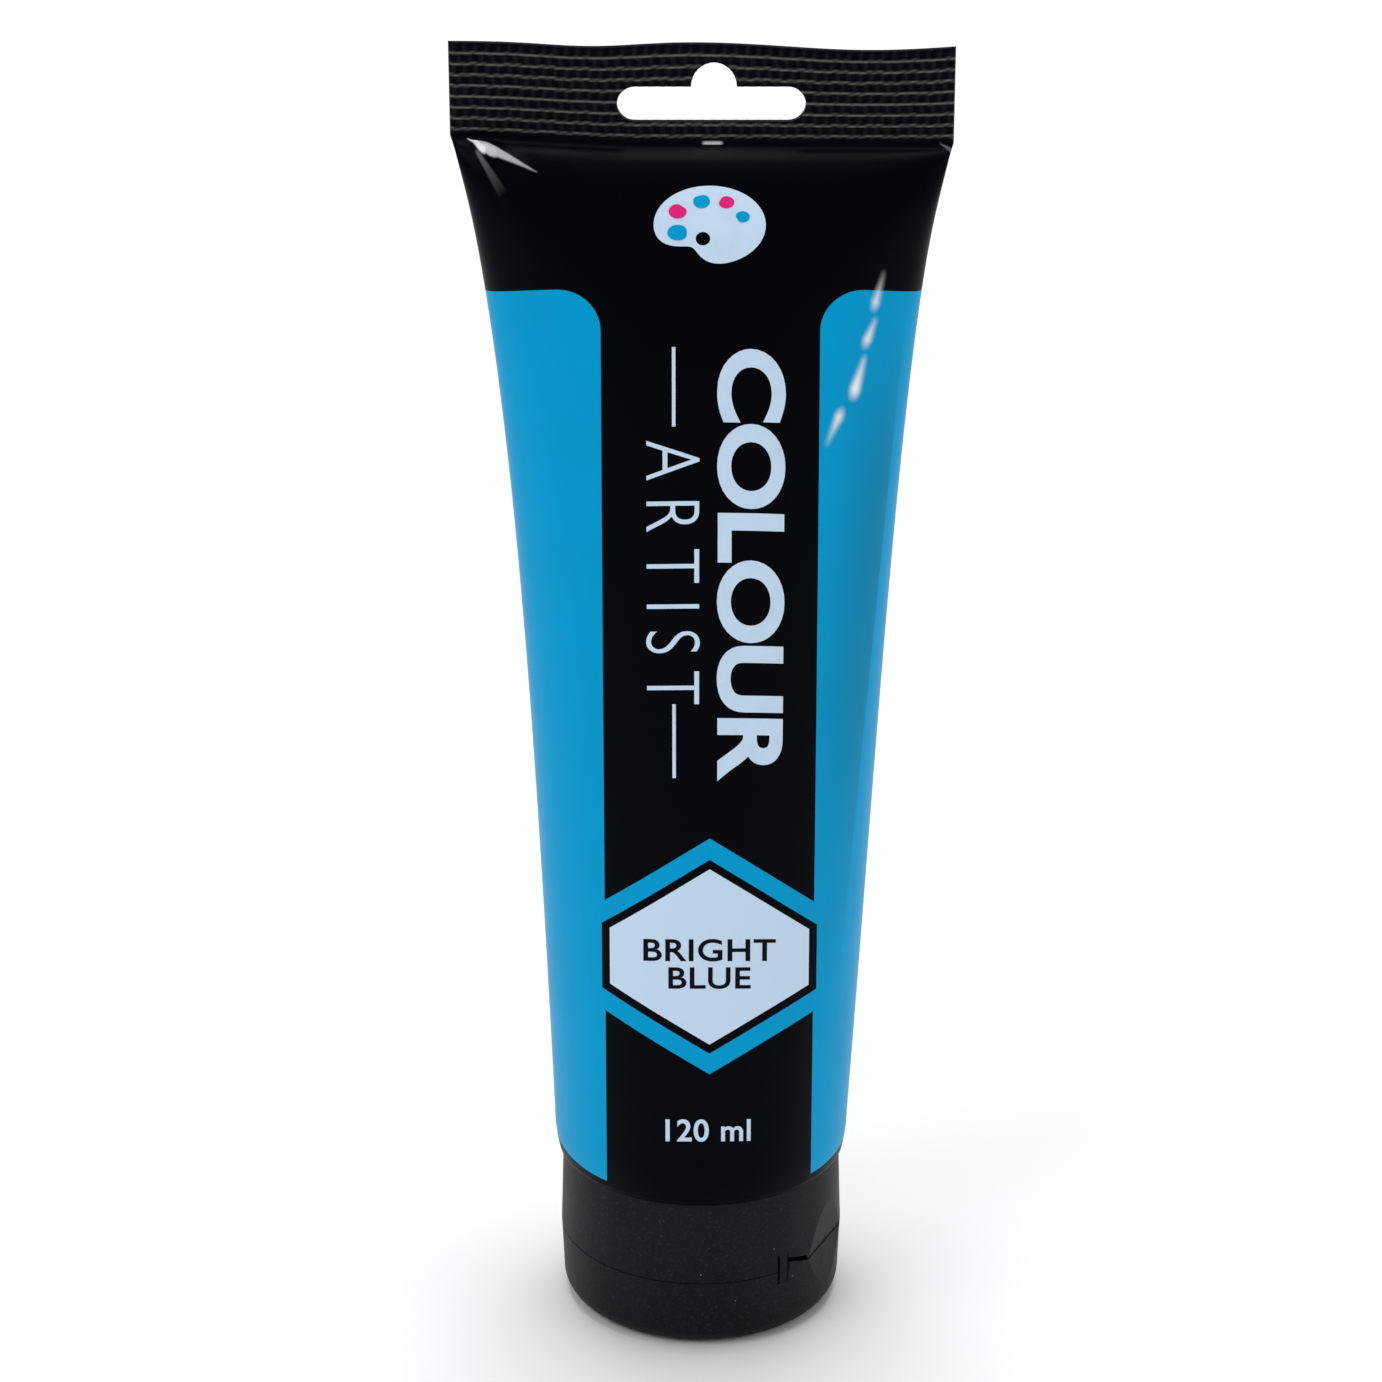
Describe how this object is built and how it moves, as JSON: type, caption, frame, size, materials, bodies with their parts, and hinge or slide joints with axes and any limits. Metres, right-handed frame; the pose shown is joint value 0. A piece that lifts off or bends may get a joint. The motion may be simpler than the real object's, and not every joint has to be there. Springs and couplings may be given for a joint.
{
  "type": "paint tube",
  "caption": "Squeeze tube of artist's paint with a crimped end, a hang slot and a screw-on flip-top cap that it stands on.",
  "frame": {"origin": "centre of the lid's outer face, on which the tube stands", "axes": "+Z along the tube up to the crimp, +X along the crimp to the right, the decorated front faces -Y"},
  "size_m": [0.0596, 0.038, 0.1665],
  "materials": {
    "tube_sleeve": "gloss",
    "tube_shoulder": "satin",
    "foil_seal": "satin",
    "paint_fill": "gloss",
    "cap_base": "satin",
    "flip_lid": "satin",
    "hinge_film": "satin",
    "hinge_strap_front": "satin",
    "hinge_strap_rear": "satin"
  },
  "bodies": {
    "tube": {"tube_sleeve": "tube_sleeve", "tube_shoulder": "tube_shoulder", "foil_seal": "foil_seal", "paint_fill": "paint_fill"},
    "cap": {"cap_base": "cap_base", "hinge_film": "hinge_film", "hinge_strap_front": "hinge_strap_front", "hinge_strap_rear": "hinge_strap_rear"},
    "lid": {"flip_lid": "flip_lid"}
  },
  "joints": [
    {"name": "cap_turn", "type": "hinge", "parent": "tube", "child": "cap", "pos_m": [0, 0, 0.0209], "axis": [0, 0, -1], "range_deg": [0, 540]},
    {"name": "lid_hinge", "type": "hinge", "parent": "cap", "child": "lid", "pos_m": [0.01595, -0.00744, 0.0099], "axis": [-0.4226, -0.9063, 0], "range_deg": [0, 160]}
  ]
}
